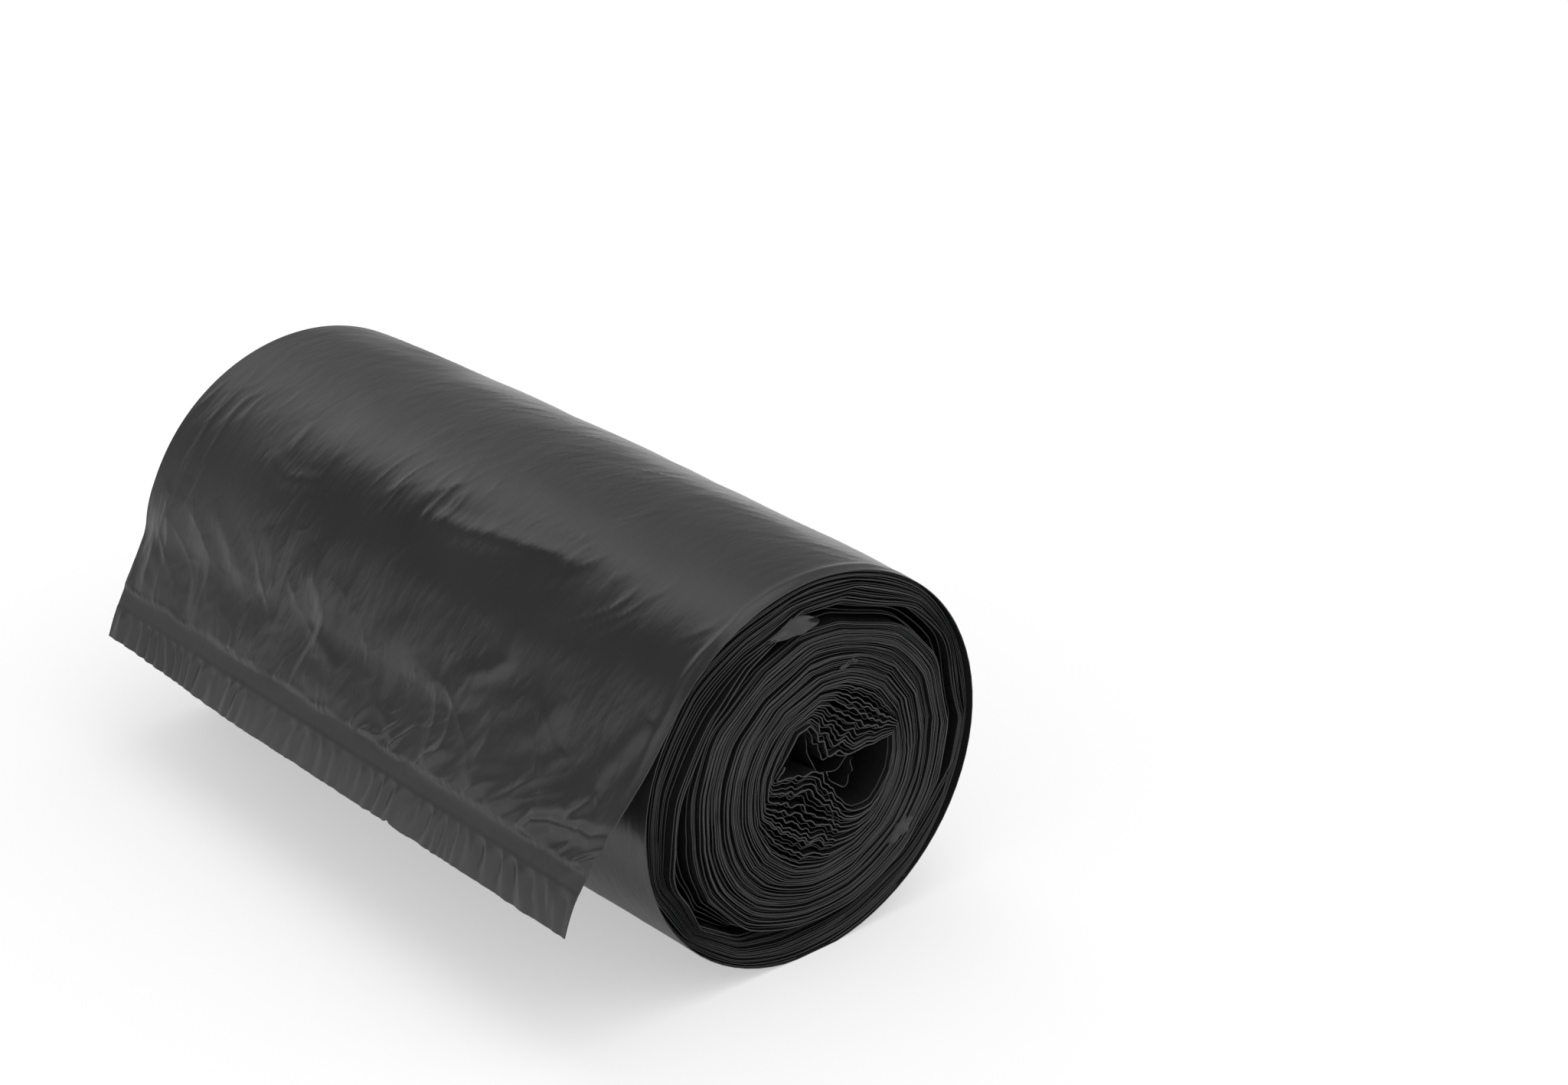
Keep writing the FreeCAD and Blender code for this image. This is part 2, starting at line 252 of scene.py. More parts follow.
# Single folds seen in the photograph: height, half width and route, as distance from the root (below 0 on
# the loose end) and place along the roll
FOLDS = (
    (0.5, 2.4, ((-8, 84), (-20, 68), (-28, 56))),
    (0.5, 2.2, ((-8, 56), (-25, 44), (-34, 40))),
    (0.4, 1.8, ((-19, 84), (-32, 74), (-38, 70))),
    (0.5, 1.6, ((-27, 22), (-34, 8), (-42, 4))),
    (0.3, 2.6, ((-12, -8), (-22, -25), (-24, -33), (-20, -53), (-15, -76))),
    (0.4, 1.8, ((-9, -80), (-23, -74), (-30, -67), (-40, -63), (-46, -60))),
    (0.4, 1.6, ((-18, -73), (-31, -62), (-45, -52))),
    (1.9, 1.4, ((-46, -86), (-41, -90), (-38, -95), (-38, -103), (-38, -110), (-35, -116))),
    (0.7, 1.4, ((-29, -105), (-34, -99), (-38, -95))),
    (2.0, 1.2, ((-49, -107), (-44, -112), (-40, -117))),
    (0.5, 0.9, ((-28, -112), (0, -112), (30, -112), (60, -112.5), (95, -112.5))),
    (0.5, 1.9, ((1, -50), (-8, -54), (-13, -46), (-20, -36))),
    (0.6, 1.3, ((-36, -15), (-39, -20), (-43, -28))),
    (0.3, 1.8, ((-28, 112), (-40, 94))),
    (-0.5, 1.6, ((-28, 87), (-43, 83))),
    (0.6, 1.8, ((-44, -42), (-32, -49), (-22, -57))),
    (0.6, 1.7, ((-45, -70), (-34, -81), (-22, -85))),
    (0.6, 1.4, ((-46, -88), (-34, -95))),
    (0.5, 1.6, ((10, 72), (7, 59), (9, 46))),
    (0.7, 1.9, ((15, 4), (18, -22), (20, -36), (22, -56))),
    (-0.7, 6.0, ((7, 6), (10, -25), (12, -50), (6, -90))),
    (0.18, 0.9, ((28, -51), (53, -59))),
    (0.16, 0.8, ((13, 3), (32, 0))),
    (0.12, 0.8, ((12, -3), (30, -7))),
    (0.20, 0.8, ((13, 63), (25, 66))),
    (0.14, 0.8, ((17, -103), (34, -111))),
    (0.10, 0.8, ((20, -83), (40, -91))),
    (0.2, 2.4, ((-6, 100), (-30, 100), (-42, 104))),
    (0.5, 2.4, ((-4, 34), (-22, 22), (-34, 20))),
    (0.5, 2.0, ((-30, -98), (-18, -104), (-4, -108))),
    (0.22, 0.6, ((27, 104), (5, 103), (-15, 105), (-35, 108))),
    (0.18, 0.5, ((20, 97), (0, 96), (-20, 99))),
)

# The film: refractive index, roughness of its glossiest and dullest patches, darkest and lightest tone, and
# how fine the patches are
FILM_IOR = 1.51
ROUGHNESS = (0.23, 0.35)
DARK_TONE = (0.008, 0.008, 0.0085, 1.0)
LIGHT_TONE = (0.014, 0.014, 0.0145, 1.0)
PATCH_SCALE = 28.0
# Sides where the film is crumpled and so duller: axis, where that starts and is full in metres, and the
# roughness that it adds
DULLER_SIDES = (("X", -0.054, -0.068, 0.12), ("Y", 0.045, 0.085, 0.10))
# Fine wrinkles in the shading alone, which are longer across the roll than along it, and their height
WRINKLE_SCALE = 260.0
WRINKLE_STRETCH = (0.35, 1.0, 0.35)
WRINKLE_STRENGTH = 0.35
WRINKLE_HEIGHT = 0.0006

# Brightness of the studio's back half from its left side to its right side, by the sideways part of the
# direction: a dark gap between the left wall and the bright back wall. White in the ramp stands for
# STUDIO_LIMIT
STUDIO_LEVELS = (
    (-1.0, 1.55), (-0.74, 1.25), (-0.64, 0.64), (-0.55, 0.24), (-0.42, 0.29), (-0.30, 0.16), (-0.21, 0.22),
    (-0.11, 1.10), (0.04, 1.35), (0.20, 0.95), (0.35, 0.63), (0.55, 0.46), (0.72, 0.42), (1.0, 0.60),
)
STUDIO_LIMIT = 2.0
# Brightness of its front half, and the backward parts of the direction between which the halves blend
FRONT_LEVEL = 1.15
FRONT_UNTIL = -0.10
BACK_FROM = 0.35
# The wide soft light above
SUN_STRENGTH = 0.45
SUN_ANGLE = 60.0
SUN_PLACE = (0.2, 0.0, 1.0)

# The floor: half its size in metres, its white, and the share of plain white that is laid over its own lit
# colour and shadows, as the camera sees it and as the film mirrors it
FLOOR_REACH = 4.0
FLOOR_WHITE = 0.97
FLOOR_ROUGHNESS = 0.9
FLOOR_GLOSS = 0.2
FLOOR_GLOW = 0.44
MIRRORED_GLOW = 0.12

# The photograph's camera, in metres and degrees: its place, the direction it looks in and its field of view
CAMERA_PLACE = (-0.5437, -0.7155, 0.4943)
CAMERA_LOOK = (0.60269, 0.67895, -0.41928)
CAMERA_ANGLE = 25.0
SENSOR_WIDTH = 36.0
CLIP_END = 20.0


def smooth(share):
    """0 up to 0, 1 from 1 on, and a smooth step in between."""
    share = np.clip(share, 0.0, 1.0)
    return share * share * (3.0 - 2.0 * share)


def rise(value, start, over):
    """0 up to start, 1 from start + over on, and a smooth step in between."""
    return smooth((value - start) / over)


def hill(value, place, reach):
    """1 at a place, and less and less on both sides of it."""
    return np.exp(-(((value - place) / reach) ** 2))


def apart(angle, middle):
    """Degrees between two directions, the shorter way round."""
    return np.abs((angle - middle + 180.0) % 360.0 - 180.0)


def lookup(table, angle):
    """Straight between a table's entries, round the full turn."""
    keys = sorted(table)
    return np.interp(angle % 360.0, keys, [table[k] for k in keys], period=360.0)


def hashed(ix, iy, seed):
    """Repeatable random number from -1 to 1 for each pair of whole numbers."""
    number = ix.astype(np.int64) * 374761393 + iy.astype(np.int64) * 668265263 + seed * 1274126177
    number = ((number ^ (number >> 13)) * 1274126177) & 0xFFFFFFFF
    number = number ^ (number >> 16)
    return number / 2147483647.5 - 1.0


def noise(x, y, seed):
    """Smooth noise from -1 to 1 with features of size 1, so that y / 13 has features 13 of y's units long."""
    ix, iy = np.floor(x), np.floor(y)
    fx, fy = smooth(x - ix), smooth(y - iy)
    low = hashed(ix, iy, seed) * (1.0 - fx) + hashed(ix + 1.0, iy, seed) * fx
    high = hashed(ix, iy + 1.0, seed) * (1.0 - fx) + hashed(ix + 1.0, iy + 1.0, seed) * fx
    return low * (1.0 - fy) + high * fy


def ridges(x, y, seed, sharpness=5.0):
    """Ridges from 0 to 1 between smooth hollows."""
    return (1.0 - np.abs(noise(x, y, seed))) ** sharpness


def skin(angle):
    """Point on the outline of the wound roll, as x and z."""
    a = np.radians(angle)
    return np.stack([HALF_WIDTH * np.cos(a), AXIS_HEIGHT + HALF_HEIGHT * np.sin(a)], -1)


def skin_normal(angle):
    """Outward normal of that outline."""
    a = np.radians(angle)
    n = np.stack([HALF_HEIGHT * np.cos(a), HALF_WIDTH * np.sin(a)], -1)
    return n / np.linalg.norm(n, axis=-1, keepdims=True)


def inset_skin(angle, depth):
    """The same outline moved towards the roll's axis."""
    point = skin(angle)
    centre = np.array([0.0, AXIS_HEIGHT])
    reach = np.linalg.norm(point - centre, axis=-1)
    return point + (centre - point) * (depth / reach)[..., None]


def core_rim(angle):
    """Point on the circle where the crumpled core starts."""
    a = np.radians(angle)
    return np.stack([CORE_X + CORE_RADIUS * np.cos(a), CORE_Z + CORE_RADIUS * np.sin(a)], -1)


def void_rim(angle):
    """Point on the outline of the void, which the core's last turn follows."""
    keys = sorted(VOID_OUTLINE)
    x = np.interp(angle % 360.0, keys, [VOID_OUTLINE[k][0] for k in keys], period=360.0)
    z = np.interp(angle % 360.0, keys, [VOID_OUTLINE[k][1] for k in keys], period=360.0)
    return np.stack([CORE_X + x, CORE_Z + z], -1)


def lane(angle, turn):
    """Outer side of the film, at an angle and after a number of turns inwards from the loose end."""
    angle, turn = np.broadcast_arrays(np.asarray(angle, float), np.asarray(turn, float))
    thickness = lookup(BUNDLE_THICKNESS, angle)
    width = lookup(CRESCENT_WIDTH, angle)
    rim = core_rim(angle)
    in_bundle = inset_skin(angle, thickness * turn / BUNDLE_TURNS)
    in_crescent = inset_skin(angle, thickness + width * (turn - BUNDLE_TURNS) / LOOSE_TURNS)
    share = ((turn - TIGHT_START) / INNER_TURNS)[..., None]
    depth = ((turn - ROLL_TURNS) / CORE_TURNS)[..., None]
    in_inner = inset_skin(angle, thickness + width) * (1.0 - share) + rim * share
    depth = np.maximum(depth, 0.0) ** CORE_SPREAD
    in_core = rim * (1.0 - depth) + void_rim(angle) * depth
    point = np.where((turn < BUNDLE_TURNS)[..., None], in_bundle, in_crescent)
    point = np.where((turn < TIGHT_START)[..., None], point, in_inner)
    return np.where((turn < ROLL_TURNS)[..., None], point, in_core)


def corner(number, turn):
    """Angle of one of the corners that the stiff film makes as it bends round the roll."""
    around = round(360.0 / FACET)
    return FACET * (number + CORNER_SHIFT * noise((number % around) * CORNER_GAP, turn / CORNER_TURNS, 13))


def faceted(angle, turn):
    """The lane as the stiff film takes it: nearly straight stretches between corners."""
    number = np.floor(angle / FACET)
    low = corner(number, turn)
    high = corner(number + 1.0, turn)
    number = np.where(low > angle, number - 1.0, np.where(high < angle, number + 1.0, number))
    low = corner(number, turn)
    high = corner(number + 1.0, turn)
    share = ((angle - low) / (high - low))[..., None]
    first = lane(low, turn + (angle - low) / 360.0)
    second = lane(high, turn + (angle - high) / 360.0)
    return first * (1.0 - share) + second * share


def zigzag(way):
    """Wave of straight flanks from -1 to 1, with period 1."""
    return 4.0 * np.abs(way - np.floor(way + 0.5)) - 1.0


def pleated(point, angle, turn):
    """Adds the pleats of the two stacks, which nest in each other from turn to turn."""
    depth = (turn - ROLL_TURNS) / CORE_TURNS
    centre = np.array([CORE_X, CORE_Z])
    for number, (middle, spread, pleats) in enumerate(STACKS):
        a = math.radians(middle)
        inwards = np.array([-math.cos(a), -math.sin(a)])
        across = np.array([inwards[1], -inwards[0]])
        inside = smooth((spread - apart(angle, middle)) / STACK_EDGE) * smooth((depth + 0.05) * 1.8)
        way = (point - centre) @ across
        slow = 1.1 * noise(way / 6.0, depth * 3.0, 70 + number)
        quick = 0.4 * noise(way / 2.5, depth * 5.0, 72 + number)
        way = way + slow + quick
        uneven = 0.4 * noise(way / 9.0, depth * 2.5, 74 + number)
        height = SMALL_PLEAT_HEIGHT * zigzag(way / SMALL_PLEAT_WIDTH + uneven)
        for place, top, half_width, highest in pleats:
            tent = np.clip(1.0 - np.abs(way - place) / half_width, 0.0, 1.0)
            height = height + top * tent * hill(depth, highest, PLEAT_REACH)
        point = point + inwards * (height * inside)[..., None]
    return point


def film_line(angle, turn):
    """Line that the film takes: smooth under the outermost turn, then more and more faceted, then pleated."""
    uneven = 0.35 + 0.65 * smooth(0.5 + 1.2 * noise((angle % 360.0) / 37.0, turn / 26.0, 14))
    stiff = (rise(turn, 1.0, STIFFENING_TURNS) * uneven)[..., None]
    point = lane(angle, turn) * (1.0 - stiff) + faceted(angle, turn) * stiff
    return pleated(point, angle, turn)


def wander(angle, turn):
    """Shift of the film within its lane, in turns: neighbours drift together and leave uneven gaps."""
    slow = noise(angle / 46.0, turn / 3.3, 11)
    quick = noise(angle / 21.0, turn * 1.7, 12)
    return SLOW_WANDER * slow + QUICK_WANDER * quick


def slope_profile(slopes, start, first):
    """Points down the loose end, a walk step apart, from slopes below the horizontal."""
    way = np.arange(first, LOOSE_LENGTH + PROFILE_SPARE, WALK_STEP)
    angle = np.radians(np.interp(way, list(slopes), list(slopes.values())))
    x = start[0] - np.concatenate([[0.0], np.cumsum(np.cos(angle[:-1]) * WALK_STEP)])
    z = start[1] - np.concatenate([[0.0], np.cumsum(np.sin(angle[:-1]) * WALK_STEP)])
    return way, np.stack([x, z], -1)


def skin_walk(length, direction):
    """Angles on the skin at distances from the root, a walk step apart."""
    angles = [ROOT_ANGLE]
    for _ in np.arange(0.0, length, WALK_STEP):
        a = math.radians(angles[-1])
        reach = math.hypot(HALF_WIDTH * math.sin(a), HALF_HEIGHT * math.cos(a))
        angles.append(angles[-1] + direction * math.degrees(WALK_STEP / reach))
    return np.arange(len(angles)) * WALK_STEP, np.array(angles)


FRONT_WAY, FRONT_LINE = slope_profile(FRONT_SLOPES, skin(np.array(ROOT_ANGLE)), 0.0)
CLING_WAY, CLING_ANGLES = skin_walk(CLING, 1.0)
OFF_WAY, OFF_LINE = slope_profile(BACK_SLOPES, skin(CLING_ANGLES[-1]), CLING_WAY[-1])
BACK_WAY = np.concatenate([CLING_WAY[:-1], OFF_WAY])
BACK_LINE = np.concatenate([skin(CLING_ANGLES)[:-1], OFF_LINE])
ROUND_WAY, ROUND_ANGLES = skin_walk(WRAP_LENGTH, -1.0)


def on_line(way, line, spot):
    """Points of a line at distances along it."""
    return np.stack([np.interp(spot, way, line[:, 0]), np.interp(spot, way, line[:, 1])], -1)


def flap_line(down, share):
    """Point of the loose end between its front and back profiles."""
    return on_line(FRONT_WAY, FRONT_LINE, down) * (1.0 - share) + on_line(BACK_WAY, BACK_LINE, down) * share


def flap_base(down, y):
    """Smooth loose end at a distance down the film and a place along the roll, with its normal."""
    share = (y / LENGTH + 0.5)[..., None]
    step = 0.6
    along = unit(flap_line(down + step, share) - flap_line(np.maximum(down - step, 0.0), share))
    return flap_line(down, share), np.stack([along[..., 1], -along[..., 0]], -1)


def wrap_base(round_way, y):
    """Smooth outermost turn at a distance round the roll from the root, with its normal."""
    angle = np.interp(round_way, ROUND_WAY, ROUND_ANGLES)
    turn = (ROOT_ANGLE - angle) / 360.0
    return lane(angle, turn) + 0.0 * y[..., None], skin_normal(angle)


def barrel(y, z):
    """The roll is a little fuller in the middle of its length, except where it lies on the floor."""
    lifted = rise(z, 0.15 * HEIGHT, 0.5 * HEIGHT)
    return BARREL * np.clip(1.0 - (y / END) ** 2, 0.0, 1.0) * lifted


def end_fade(y, reach=5.0):
    """0 at both ends of the roll, 1 a few millimetres in."""
    return smooth((END - np.abs(y)) / reach)


def film_wrinkles(way, y):
    """Fine wrinkles of the wound film. way is the distance round the roll, below 0 on the loose end."""
    slant = 0.30 - 0.20 * y / END
    across = y + slant * way
    drift = 0.8 * noise(way / 17.0, y / 15.0, 3)
    streak = ridges(across / 4.2 + drift, way / 17.0 + 0.03 * y, 1)
    near_bend = hill(way, 21.0, 17.0)
    patch = smooth(0.25 + 1.0 * noise(way / 17.0, y / 19.0, 2)) * (0.20 + 0.80 * near_bend)
    fine = ridges(across / 2.0 + drift, way / 9.0, 4) * smooth(0.3 + 1.2 * noise(way / 13.0, y / 13.0, 5))
    long_streak = ridges((y + 1.3 * way) / 9.0, (way - 0.5 * y) / 60.0, 8) * rise(way, 40.0, 30.0)
    soft = noise(way / 24.0, y / 30.0, 6) + 0.5 * noise(way / 10.0, y / 12.0, 7)
    calmer = 1.0 - 0.45 * rise(-y, 55.0, 30.0)
    wrinkles = (STREAKS * streak * patch + FINE_WRINKLES * fine) * calmer
    return wrinkles + LONG_STREAKS * long_streak + SOFT_WAVES * soft


def single_folds(way, y):
    """The folds listed at the top, each a soft ridge along its route that runs out at both ends."""
    height = np.zeros_like(way)
    spot_way = way + 1.2 * noise(way / 12.0, y / 12.0, 15) + 0.2 * noise(way / 4.0, y / 4.0, 16)
    spot_y = y + 1.2 * noise(way / 12.0, y / 12.0, 17) + 0.2 * noise(way / 4.0, y / 4.0, 18)
    for top, half_width, route in FOLDS:
        route = np.array(route, float)
        steps = np.linalg.norm(np.diff(route, axis=0), axis=1)
        starts = np.concatenate([[0.0], np.cumsum(steps)])
        away = np.full_like(way, 1e9)
        along = np.zeros_like(way)
        for start, end, reached, step in zip(route, route[1:], starts, steps):
            line = (end - start) / step
            spot = np.clip((spot_way - start[0]) * line[0] + (spot_y - start[1]) * line[1], 0.0, step)
            gap = np.hypot(spot_way - start[0] - spot * line[0], spot_y - start[1] - spot * line[1])
            along = np.where(gap < away, reached + spot, along)
            away = np.minimum(away, gap)
        share = along / starts[-1]
        taper = np.sqrt(np.clip(4.0 * share * (1.0 - share), 0.0, 1.0))
        height += top * taper * hill(away, 0.0, 1.6 * half_width)
    return height


def gathers(down, y):
    """Gathers below the weld, uneven along the roll, and the shorter puckers above it."""
    still = y * 0.0
    above_weld = PANEL - down
    below_weld = down - PANEL - SEAL
    lean = y + below_weld * 0.5 * noise(y / 21.0, still, 20)
    place = lean / GATHER_SPACING + 1.3 * noise(y / 17.0, still, 21) + 0.12 * noise(y / 10.0, down / 7.0, 23)
    crest = np.abs(np.sin(math.pi * place)) ** 1.5
    strength = smooth(0.85 + 0.7 * noise(y / 13.0, still, 22)) * (0.75 + 0.5 * noise(y / 5.0, down / 9.0, 19))
    finer = SMALL_GATHERS * noise(lean / 2.4, down / 11.0, 24)
    free = 1.0 - 0.55 * rise(below_weld, 5.0, 6.5)
    below = rise(below_weld, 0.0, 3.0) * (GATHER_HEIGHT * (crest - 0.6) * strength + finer) * free
    reach = 8.0 + 4.5 * noise(y / 8.0, still, 27)
    fade = np.exp(-np.clip(above_weld, 0.0, 60.0) / reach) * rise(above_weld, -0.2, 1.2)
    slant = 1.1 * smooth((20.0 - y) / 50.0) + 0.35 * noise(y / 15.0, still, 26)
    lean = y + slant * above_weld
    pucker = ridges(lean / PUCKER_SPACING + 0.8 * noise(y / 11.0, still, 25), down / 14.0, 28, 2.0)
    small = SMALL_PUCKERS * noise(lean / 1.7, down / 3.5, 30)
    above = (PUCKER_HEIGHT * pucker + small) * fade * 0.7
    return (below + above) * (0.4 + 0.6 * end_fade(y, 6.0))


def panel_folds(down, y):
    """Soft folds that hang from the roll and run together towards the weld, and a loose crumple over them."""
    open_part = rise(down, 3.0, 22.0) * rise(PANEL - down, -3.0, 10.0)
    still = y * 0.0
    fan = y + (down - 20.0) * 0.45 * noise(y / 45.0, still, 31) + 2.0 * noise(down / 12.0, y / 14.0, 35)
    wide = noise(fan / 15.0, down / 38.0, 32)
    middle = ridges(fan / 11.0 + 0.15 * down / 7.0, down / 30.0, 33, 2.0)
    crossing = ridges((y + 1.4 * down) / 15.0, (down - 0.6 * y) / 30.0, 34, 3.0)
    fine = ridges(fan / 3.4, down / 9.0, 39, 2.0)
    crumple = noise(down / 6.5, y / 7.5, 36) + 0.5 * noise((down + y) / 5.0, (down - y) / 5.0, 37)
    patch = smooth(0.5 + 1.2 * noise(down / 18.0, y / 24.0, 38))
    relief = WIDE_FOLDS * wide + MIDDLE_FOLDS * middle + CROSSING_FOLDS * crossing * patch
    relief = relief + CRUMPLE * crumple + FINE_FOLDS * fine
    return relief * open_part * (0.3 + 0.7 * end_fade(y, 12.0))


def weld_print(down, y):
    """Welded band: pressed flat, with a broken dotted line of small puckers along its upper border."""
    inside = rise(down - PANEL, -0.2, WELD_EDGE) * rise(PANEL + SEAL - down, -0.2, WELD_EDGE)
    strength = smooth(0.6 + noise(y / 9.0, y * 0.0, 43))
    dots = hill(down, PANEL, WELD_EDGE) * (0.5 + 0.5 * noise(y / 0.8, down / 0.7, 41))
    lower = hill(down - PANEL, SEAL, WELD_EDGE) * (0.3 + 0.3 * noise(y / 1.4, down / 0.9, 42))
    return -WELD_DEPTH * inside + DOTTED_BORDER * dots * strength + LOWER_BORDER * lower


def make_mesh(name, points, quads, normals=None):
    """Blender mesh from points in millimetres and quads, shaded smooth or with the normals given."""
    mesh = bpy.data.meshes.new(name)
    mesh.vertices.add(len(points))
    mesh.vertices.foreach_set("co", (np.asarray(points) * MM).astype(np.float32).ravel())
    mesh.loops.add(quads.size)
    mesh.loops.foreach_set("vertex_index", quads.astype(np.int32).ravel())
    mesh.polygons.add(len(quads))
    mesh.polygons.foreach_set("loop_start", np.arange(0, quads.size, 4, dtype=np.int32))
    mesh.polygons.foreach_set("use_smooth", np.ones(len(quads), dtype=bool))
    mesh.update()
    if normals is not None:
        mesh.normals_split_custom_set(normals.reshape(-1, 3).tolist())
    piece = bpy.data.objects.new(name, mesh)
    bpy.context.scene.collection.objects.link(piece)
    return piece


def unit(vectors):
    """The same directions with length 1."""
    return vectors / np.maximum(np.linalg.norm(vectors, axis=-1, keepdims=True), 1e-9)


def ring_quads(rows, columns):
    """Quads of a tube of rows of points, each row a closed ring."""
    index = np.arange(rows * columns).reshape(rows, columns)
    index = np.hstack([index, index[:, :1]])
    return np.stack([index[:-1, :-1], index[1:, :-1], index[1:, 1:], index[:-1, 1:]], -1).reshape(-1, 4)


def film_sheet(name, outer, normals, wall):
    """Closed sheet of film: an outer side, an inner side below it, and thin faces round all four edges."""
    rows, columns = outer.shape[:2]
    inner = outer - normals * wall
    points = np.concatenate([outer, inner[:, ::-1]], 1)
    point_normals = np.concatenate([normals, -normals[:, ::-1]], 1).reshape(-1, 3)
    quads = ring_quads(rows, 2 * columns)
    sides = np.tile(np.arange(2 * columns), rows - 1)
    on_edge = (sides == columns - 1) | (sides == 2 * columns - 1)
    index = np.arange(rows * 2 * columns).reshape(rows, 2 * columns)
    caps = []
    for row, turned in ((0, False), (rows - 1, True)):
        upper, lower = index[row, :columns], index[row, columns:][::-1]
        cap = np.stack([lower[:-1], upper[:-1], upper[1:], lower[1:]], -1)
        caps.append(cap[:, ::-1] if turned else cap)
    quads = np.concatenate([quads] + caps)
    on_edge = np.concatenate([on_edge, np.ones(len(quads) - len(on_edge), dtype=bool)])
    points = points.reshape(-1, 3)
    corners = points[quads]
    flat = unit(np.cross(corners[:, 2] - corners[:, 0], corners[:, 3] - corners[:, 1]))
    loop_normals = point_normals[quads]
    loop_normals[on_edge] = flat[on_edge][:, None, :]
    return make_mesh(name, points, quads, loop_normals)


def torn_edge(y):
    """How far the free edge lies beyond the skirt's plain length."""
    still = y * 0.0
    ragged = 0.07 * noise(y / 1.3, still, 51) + 0.10 * noise(y / 7.0, still, 52)
    nick = -NICK_DEPTH * hill(y, NICK_Y, NICK_WIDTH)
    return ragged + nick - BACK_SHORTER * rise(y, 0.3 * END, 0.7 * END)


def film_rows(y):
    """Distances round the roll of all rows of the grid, below 0 on the loose end, by the columns' places."""
    flap = -np.linspace(1.0, 0.0, FLAP_ROWS)[:, None] * (LOOSE_LENGTH + torn_edge(y))
    fine_rows = round(FINE_SHARE * WRAP_ROWS)
    fine = np.linspace(0.0, FINE_WAY, fine_rows)[1:]
    coarse = np.linspace(FINE_WAY, WRAP_LENGTH, WRAP_ROWS - fine_rows + 1)[1:]
    return np.concatenate([flap, np.concatenate([fine, coarse])[:, None] + 0.0 * y])


def film_height(way, y, z):
    """How far the film stands off its smooth shape, with all its folds, wrinkles, gathers and its weld."""
    down = np.maximum(-way, 0.0)
    above_floor = rise(z, 2.0, 20.0)
    height = barrel(y, z) * (1.0 - rise(down, 0.0, 40.0))
    height = height + panel_folds(down, y) * (down > 0.0)
    height += gathers(down, y) * (down > 0.0) + weld_print(down, y)
    pressed = 1.0 - 0.9 * rise(down - PANEL, -1.5, 2.0)
    fade = end_fade(y, 4.0)
    fade = fade + (1.0 - fade) * rise(down, 8.0, 12.0)
    height += (film_wrinkles(way, y) + single_folds(way, y)) * pressed * fade * above_floor
    return np.where(way < 0.0, height, np.maximum(height, -DEEPEST_HOLLOW * above_floor))


def outer_film():
    """Grid of the film's outer side and its normals, from the free edge over the roll and right round it."""
    y = np.linspace(-END, END, COLUMNS)[None, :]
    way = film_rows(y)
    y = np.broadcast_to(y, way.shape)
    down = np.maximum(-way, 0.0)
    on_flap, flap_side = flap_base(down, y)
    on_wrap, wrap_side = wrap_base(np.maximum(way, 0.0), y)
    loose = (way < 0.0)[..., None]
    section = np.where(loose, on_flap, on_wrap)
    side = np.where(loose, flap_side, wrap_side)
    section = section + side * film_height(way, y, section[..., 1])[..., None]
    bulge = BULGE * hill(down, BULGE_DOWN, BULGE_REACH) * rise(-y, 85.0, 30.0)
    points = np.stack([section[..., 0], y - bulge, np.maximum(section[..., 1], 0.0)], -1)
    return points, sheet_normals(points)


def outer_pieces():
    """The loose end and the outermost turn, which meet at the root with one and the same row of points."""
    points, normals = outer_film()
    root = FLAP_ROWS - 1
    flap = film_sheet("loose_end", points[: root + 1], normals[: root + 1], FLAP_WALL)
    wrap = film_sheet("outermost_turn", points[root:], normals[root:], WRAP_WALL)
    return [flap, wrap]


def lies_back(angle, zone):
    """Depth by which turns lie back at an angle, in one of the zones listed at the top."""
    middle, spread, edge, depth = zone
    return depth * smooth((spread - apart(angle, middle)) / edge)


def stand_out(angle, turn):
    """How far each turn's edge lies inside the roll's end: turns stand out or lie back in groups."""
    still = angle * 0.0
    group = smooth(0.35 + 1.3 * noise(turn / 5.5, angle / 150.0, 62))
    single = SINGLE_BACK * noise(turn * 1.3, still, 61)
    wavy = WAVY_BACK * noise(angle / 12.0, turn * 2.1, 63)
    bundle = smooth((BUNDLE_TURNS - 3.0 - turn) / 4.0)
    loose = smooth((turn - BUNDLE_TURNS + 0.6) / 1.2) * smooth((TIGHT_START + 0.4 - turn) / 1.2)
    fanned = smooth((TIGHT_START - turn) / 3.0) * turn / TIGHT_START
    back = bundle * (lies_back(angle, LEFT_BACK) + lies_back(angle, RIGHT_BACK))
    back += fanned * lies_back(angle, BOTTOM_BACK) + LOOSE_BACK * loose
    return np.clip(PLAIN_BACK + GROUP_BACK * group + single + wavy, LEAST_BACK, MOST_BACK) + back


def turns(name, first, last, per_turn, wall_limit, row):
    """A run of turns as one thin ribbon, seen from both ends of the roll."""
    count = int(round((last - first) * per_turn)) + 1
    turn = np.linspace(first, last, count)
    angle = ROOT_ANGLE - 360.0 * turn
    moved = np.clip(turn + wander(angle, turn), first, last - 0.001)
    outer = film_line(angle, moved)
    rib = film_line(angle, moved + 1.0) - outer
    along = unit(np.gradient(outer, axis=0))
    inwards = np.stack([along[:, 1], -along[:, 0]], -1)
    pitch = np.abs(np.sum(rib * inwards, -1))
    wall = np.clip(FILM_SHARE * pitch, LEAST_WALL, wall_limit)
    inner = outer + inwards * wall[:, None]
    edge = END - stand_out(angle, turn)
    middle = [np.full(count, -row), np.full(count, row)]
    places = [-edge, -edge + EDGE_BAND] + middle + [edge - EDGE_BAND, edge]
    columns = [np.stack([outer[:, 0], y, outer[:, 1]], -1) for y in places]
    columns += [np.stack([inner[:, 0], y, inner[:, 1]], -1) for y in places[::-1]]
    points = np.stack(columns, 1)
    return make_mesh(name, points.reshape(-1, 3), ring_quads(count, points.shape[1]))


